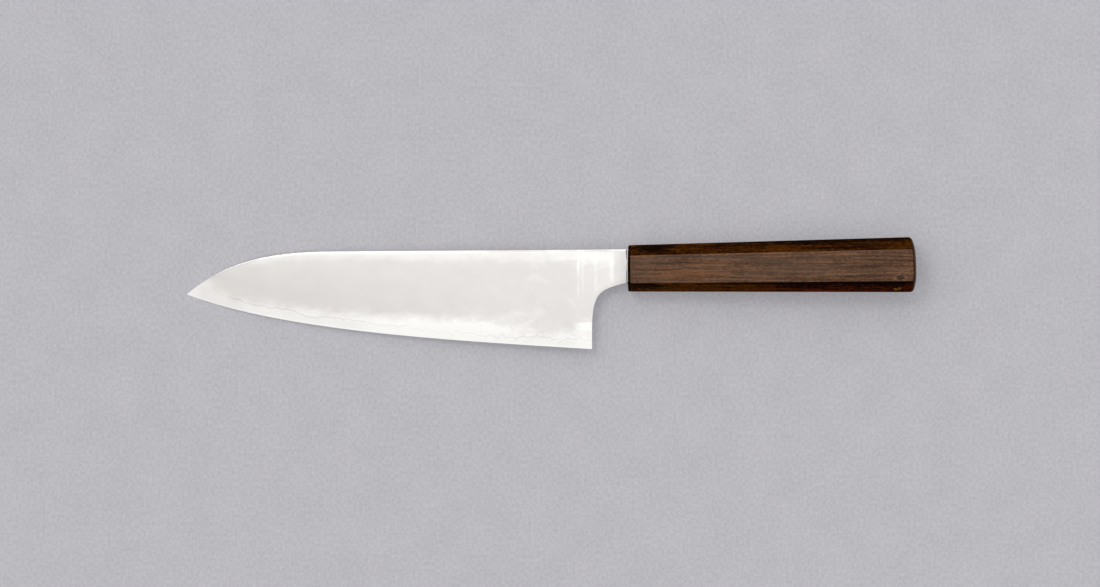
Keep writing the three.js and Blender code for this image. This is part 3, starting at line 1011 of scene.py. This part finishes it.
# Pores, and the surface: roughness between and on the fine lines, sheen, and strength and depth of relief
PORES = (0.57, 0.67)
PORE_SHARE = 0.42
WOOD_ROUGHNESS = (0.31, 0.47)
CHAMFER_SHEEN = 0.015
FACET_SHEEN = (0.16, 0.56)
SHEEN_TINT = (1.0, 0.66, 0.47, 1.0)
GRAIN_RELIEF = (0.15, 0.06 * MM)


def painted_sheen_share(g, level, upright):
    """1 on the four broad facets of the handle, which get the painted sheen, and 0 on the chamfers between
    them and their roundings.
    """
    up = g.step(g.math("ABSOLUTE", upright), *FACES_UP)
    return g.math("MAXIMUM", up, g.step(g.math("ABSOLUTE", level), *FACES_SIDEWAYS))


def growth_rings(g, where, patterns):
    """Share of the dark late wood in the rings that the handle's ends cut across."""
    uneven = g.times(g.less(patterns["drift"], NOISE_MIDDLE), RINGS_WANDER)
    radius = g.add(near_point(g, where, RINGS_CENTRE, ACROSS_GRAIN), uneven)
    outward = g.node("CombineXYZ", {0: radius}).outputs[0]
    return g.step(g.noise(outward, **RING_YEARS), *LATE_SHARE)


def livelier(g, patterns, grain, shares):
    """Grain that varies more with some of its patterns, about the same middle."""
    for name, share in shares.items():
        grain = g.add(grain, g.step(patterns[name], *GRAIN_RANGE, -share / 2, share / 2))
    return grain


def painted_sheen_facets(g, where, along, patterns, grain):
    """Colour of the broad facets, paler as painted sheen: warm and cool streaks, with a dark line in the
    front half.
    """
    grain = livelier(g, patterns, grain, PAINTED_SHEEN_SHARES)
    color = g.ramp(g.less(grain, spot(g, where, **DARK_LINE)), PAINTED_SHEEN_WOOD)
    warm = g.add(spot(g, where, **WARM_ZONE), g.step(patterns["tint"], *WARM_STREAKS))
    warm = g.times(warm, g.step(patterns["fine"], *WARM_LINES), g.step(along, *CALMER_TINT))
    color = g.mix(warm, color, WARM_WOOD)
    return g.mix(g.step(patterns["tint"], *COOL_STREAKS), color, COOL_WOOD)


def along_handle(g, along, front, butt):
    """Value that changes evenly from the handle's front to its butt."""
    return g.step(along, 0, HANDLE_LENGTH, front, butt, course="LINEAR")


def dark_lines(g, along, low, uneven):
    """Share of black below the side facet's lower border, and below the handle's top border."""
    front, butt = handle_sizes(0), handle_sizes(HANDLE_LENGTH)
    facet_low = along_handle(g, along, *[-s["bottom"] - s["edge_chamfer"] for s in (front, butt)])
    below_facet = g.add(g.less(low, facet_low), g.times(uneven, LINE_RAGGED))
    line = g.times(g.step(below_facet, *BLACK_LINE), g.step(low, *UNDERSIDE), g.step(along, *BLACK_LINE_FROM))
    below_top = g.add(along_handle(g, along, front["top"], butt["top"]), low, uneven)
    rim = g.times(g.step(below_top, *DARK_RIM), g.step(along, *DARK_RIM_FROM))
    return g.math("MAXIMUM", line, rim)


def painted_shade_chamfers(g, where, along, patterns, grain):
    """Colour of the chamfers, darker as painted shade: livelier than the facets, golden at one place, with
    painted shade below.
    """
    grain = livelier(g, patterns, grain, PAINTED_SHADE_SHARES)
    gold = g.times(spot(g, where, **GOLD_ZONE), g.step(patterns["fine"], *GOLD_LINES))
    color = g.mix(gold, g.ramp(grain, PAINTED_SHADE_WOOD), GOLD_WOOD)
    low = g.times(in_mm(g, where)[1], -1.0)
    shade = g.times(g.step(low, *UNDERSIDE), g.step(along, *UNDERSIDE_FROM))
    color = g.mix(shade, color, g.ramp(g.add(grain, g.step(low, *LIT_BELOW)), SHADED_WOOD))
    uneven = g.times(g.less(patterns["dashes"], NOISE_MIDDLE), STREAK_RAGGED)
    color = g.mix(dark_lines(g, along, low, uneven), color, BLACK_WOOD)
    for at in BLACK_STREAKS_AT:
        off = g.add(near_point(g, where, at, STREAK_STRETCH), uneven)
        color = g.mix(g.step(off, *STREAK_BORDER), color, BLACK_WOOD)
    return color


def wood_ends(g, where, along, toward_butt, patterns, color):
    """Chamfer wood with a painted highlight in brown at the butt, the growth rings on both ends and the front
    rim black with painted shade.
    """
    # Painted highlight in brown on the butt's rounding and end
    color = g.mix(g.step(toward_butt, *BUTT_HIGHLIGHT), color, BUTT_HIGHLIGHT_WOOD)
    ends = g.step(g.math("ABSOLUTE", toward_butt), *END_GRAIN)
    color = g.mix(g.times(growth_rings(g, where, patterns), ends), color, LATE_WOOD)
    # Black front rim of painted shade
    front = g.times(g.step(along, *FRONT_RIM_SHADE), g.step(toward_butt, *PALER_FACE))
    return g.mix(front, color, BLACK_WOOD)


def wood_marks(g, where, patterns, color):
    """The knot with its pale rim, and the two orange flecks in dark wood below it."""
    ragged = g.less(patterns["hair"], NOISE_MIDDLE)
    knot = g.add(near_point(g, where, KNOT_AT, KNOT_STRETCH), g.times(ragged, KNOT_RAGGED))
    rim = g.step(g.off(knot, KNOT_RIM_RADIUS), *KNOT_RIM)
    color = g.mix(g.times(rim, g.step(patterns["dashes"], *KNOT_RIM_GAPS)), color, KNOT_RIM_WOOD)
    color = g.mix(g.step(knot, *KNOT_BORDER), color, KNOT_WOOD)
    nearest = g.math("MINIMUM", *[near_point(g, where, at, FLECK_STRETCH) for at in FLECKS_AT])
    color = g.mix(g.step(nearest, *FLECK_SURROUND), color, BLACK_WOOD)
    fleck = g.add(nearest, g.times(ragged, FLECK_RAGGED))
    return g.mix(g.step(fleck, *FLECK_BORDER), color, FLECK_WOOD)


def wood_material():
    """Dark hardwood: broad facets paler with painted sheen than the chamfers and ends, which are darker with
    painted shade.
    """
    material, g = new_material("dark_hardwood_painted_sheen_and_shade")
    where = knife_place(g)
    along = in_mm(g, where)[0]
    normal = g.node("NewGeometry").outputs["Normal"]
    toward_butt, level, upright = g.node("SeparateXYZ", {0: normal}).outputs
    patterns = {name: g.noise(where, **pattern) for name, pattern in WOOD_PATTERNS.items()}
    grain = 0.0
    for name, share in GRAIN_SHARES.items():
        grain = g.add(grain, g.step(patterns[name], *GRAIN_RANGE, 0.0, share))
    chamfer_color = painted_shade_chamfers(g, where, along, patterns, grain)
    chamfer_color = wood_ends(g, where, along, toward_butt, patterns, chamfer_color)
    # Broad facets get the paler colour of painted sheen, chamfers and ends the darker colour of painted shade
    facet = g.times(painted_sheen_share(g, level, upright), g.step(along, *FACETS_FROM))
    color = g.mix(facet, chamfer_color, painted_sheen_facets(g, where, along, patterns, grain))
    color = wood_marks(g, where, patterns, color)
    pored = g.step(patterns["pores"], *PORES)
    color = g.mix(g.times(pored, PORE_SHARE), color, PORE_WOOD)
    sheen = g.between(facet, CHAMFER_SHEEN, g.between(grain, *FACET_SHEEN))
    inputs = {"Base Color": color, "Specular IOR Level": sheen, "Specular Tint": SHEEN_TINT}
    inputs["Roughness"] = g.between(patterns["fine"], *WOOD_ROUGHNESS)
    inputs["Normal"] = g.bump(g.less(patterns["fine"], pored), *GRAIN_RELIEF)
    finish_material(g, inputs)
    return material


# Seal: its stains, a black spot of painted shade at its lower end, and how far back from its front shade is
# painted
SEAL_STAINS = {"stretch": (700, 380, 380), "detail": 4, "roughness": 0.65}
SEAL_COLORS = ((0.35, (0.66, 0.60, 0.54)), (0.6, (0.86, 0.815, 0.76)))
SEAL_SHADE_SPOT = {"at": (-0.5, -6.7, 2), "stretch": (1, 1, 0.3), "border": (0.4, 0.9, 0.9, 0.0)}
SEAL_FRONT_SHADE = (SEAL_FRONT_X, SEAL_FRONT_X + 0.14, 0.92, 0.0)
SEAL_ROUGHNESS = (0.35, 0.65)
SEAL_RELIEF = (0.2, 0.1 * MM)


def seal_material():
    material, g = new_material("aged_cream_sealant")
    where = knife_place(g)
    along, height, _ = in_mm(g, where)
    stain = g.noise(where, **SEAL_STAINS)
    # Painted shade at the seal's front and a black spot of painted shade at its lower end
    painted_gap_shade = g.times(g.step(along, *SEAL_FRONT_SHADE), gap_shade_share(g, height))
    painted_gap_shade = g.math("MAXIMUM", painted_gap_shade, spot(g, where, **SEAL_SHADE_SPOT))
    inputs = {"Base Color": g.mix(painted_gap_shade, g.ramp(stain, SEAL_COLORS), GAP_SHADE_COLOR)}
    inputs["Roughness"] = g.between(stain, *SEAL_ROUGHNESS)
    inputs["Normal"] = g.bump(stain, *SEAL_RELIEF)
    finish_material(g, inputs)
    return material


# Resin
RESIN_CLOUDS = {"stretch": (160, 260, 260), "detail": 4}
RESIN_COLORS = ((0.3, (0.16, 0.09, 0.03)), (0.7, (0.3, 0.19, 0.07)))
RESIN_ROUGHNESS = (0.12, 0.32)
RESIN_RELIEF = (0.1, 0.2 * MM)


def resin_material():
    material, g = new_material("amber_resin")
    clouds = g.noise(object_place(g), **RESIN_CLOUDS)
    inputs = {"Base Color": g.ramp(clouds, RESIN_COLORS)}
    inputs["Roughness"] = g.between(clouds, *RESIN_ROUGHNESS)
    inputs["Normal"] = g.bump(clouds, *RESIN_RELIEF)
    finish_material(g, inputs)
    return material


def dress(piece, material):
    piece.data.materials.clear()
    piece.data.materials.append(material)
    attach(piece, "root")


core, left, right = make_blade()
handle = make_handle()
seal = make_seal()
hazy_steel = steel_material("hazy_cladding_steel", **CLADDING_FINISH)
dress(core, steel_material("polished_core_steel", **CORE_FINISH))
dress(left, hazy_steel)
dress(right, hazy_steel)
dress(handle, wood_material())
dress(seal, seal_material())
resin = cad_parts["tang_resin"]
resin.data.materials.clear()
resin.data.materials.append(resin_material())


# Floor of paper, which looks paler than the light that it gives
FLOOR_REACH = 40
FLOOR_FIBRES = {"stretch": (760, 620, 620), "detail": 4, "roughness": 0.75}
FLOOR_MOTTLING = {"stretch": (60, 60, 60), "detail": 4}
FIBRE_SHARE = 0.83
FLOOR_COLORS = ((0.36, (0.288, 0.283, 0.301)), (0.64, (0.357, 0.350, 0.373)))
FLOOR_FINISH = {"Roughness": 0.9, "Specular IOR Level": 0.1}
FLOOR_GLOW = 0.6
# Soft light from overhead, pale walls that are seen but give no light, and a soft sun
LIGHT_FROM = (-0.19, 0.2, 0.96)
SKY_SPREAD = (0.5, 0.85)
BRIGHT_SKY = 1.55
DIM_SKY = 0.4
PALE_WALLS = 0.95
WALLS_FADE = (0.3, 0.9)
SUN_FROM = (-0.29, 0.30, 0.91)
SUN_STRENGTH = 0.5
SUN_ANGLE = math.radians(14)
# Camera far above, in metres: the width that it sees at a level above the table, and its middle. Then
# its sensor's width, in mm
CAMERA_HEIGHT = 12
FIELD_WIDTH = 0.4883
FIELD_LEVEL = 0.009
CENTRE = (-0.00078, -0.00017)
SENSOR = 36


def seen_rays(g):
    """1 for what the camera sees, also in metal and glass, and 0 for the light that surfaces get."""
    rays = g.node("LightPath").outputs
    seen = g.math("MAXIMUM", rays["Is Camera Ray"], rays["Is Glossy Ray"])
    return g.math("MAXIMUM", seen, rays["Is Transmission Ray"])


def make_floor():
    mesh = bpy.data.meshes.new("floor")
    corners = [(x * FLOOR_REACH, y * FLOOR_REACH, 0) for x, y in ((-1, -1), (1, -1), (1, 1), (-1, 1))]
    mesh.from_pydata(corners, [], [(0, 1, 2, 3)])
    floor = bpy.data.objects.new("floor", mesh)
    bpy.context.scene.collection.objects.link(floor)
    material, g = new_material("pale_paper")
    where = object_place(g)
    paper = g.between(FIBRE_SHARE, g.noise(where, **FLOOR_MOTTLING), g.noise(where, **FLOOR_FIBRES))
    color = g.ramp(paper, FLOOR_COLORS)
    inputs = {"Base Color": color, "Emission Color": color, **FLOOR_FINISH}
    inputs["Emission Strength"] = g.times(seen_rays(g), FLOOR_GLOW)
    finish_material(g, inputs)
    mesh.materials.append(material)


def make_light():
    world = bpy.data.worlds.new("soft_studio")
    bpy.context.scene.world = world
    world.use_nodes = True
    g = Graph(world.node_tree)
    toward = g.node("TexCoord").outputs["Generated"]
    centre = Vector(LIGHT_FROM).normalized()
    facing = g.node("VectorMath", {0: toward, 1: centre}, operation="DOT_PRODUCT")
    strength = g.step(facing.outputs["Value"], *SKY_SPREAD, DIM_SKY, BRIGHT_SKY)
    height = g.node("SeparateXYZ", {0: toward}).outputs[2]
    walls = g.step(height, *WALLS_FADE, PALE_WALLS, DIM_SKY)
    strength = g.between(seen_rays(g), strength, g.math("MAXIMUM", strength, walls))
    sky = g.node("Background", {"Strength": strength})
    g.node("OutputWorld", {"Surface": sky.outputs[0]})
    sun = bpy.data.lights.new("key", "SUN")
    sun.energy = SUN_STRENGTH
    sun.angle = SUN_ANGLE
    key = bpy.data.objects.new("key", sun)
    key.rotation_euler = Vector(SUN_FROM).to_track_quat("Z", "Y").to_euler()
    bpy.context.scene.collection.objects.link(key)


def make_camera():
    lens = bpy.data.cameras.new("camera")
    lens.sensor_fit = "HORIZONTAL"
    lens.sensor_width = SENSOR
    lens.lens = SENSOR * (CAMERA_HEIGHT - FIELD_LEVEL) / FIELD_WIDTH
    camera = bpy.data.objects.new("camera", lens)
    camera.location = (*CENTRE, CAMERA_HEIGHT)
    bpy.context.scene.collection.objects.link(camera)
    bpy.context.scene.camera = camera


make_floor()
make_light()
make_camera()
bpy.context.scene.view_settings.view_transform = "Standard"
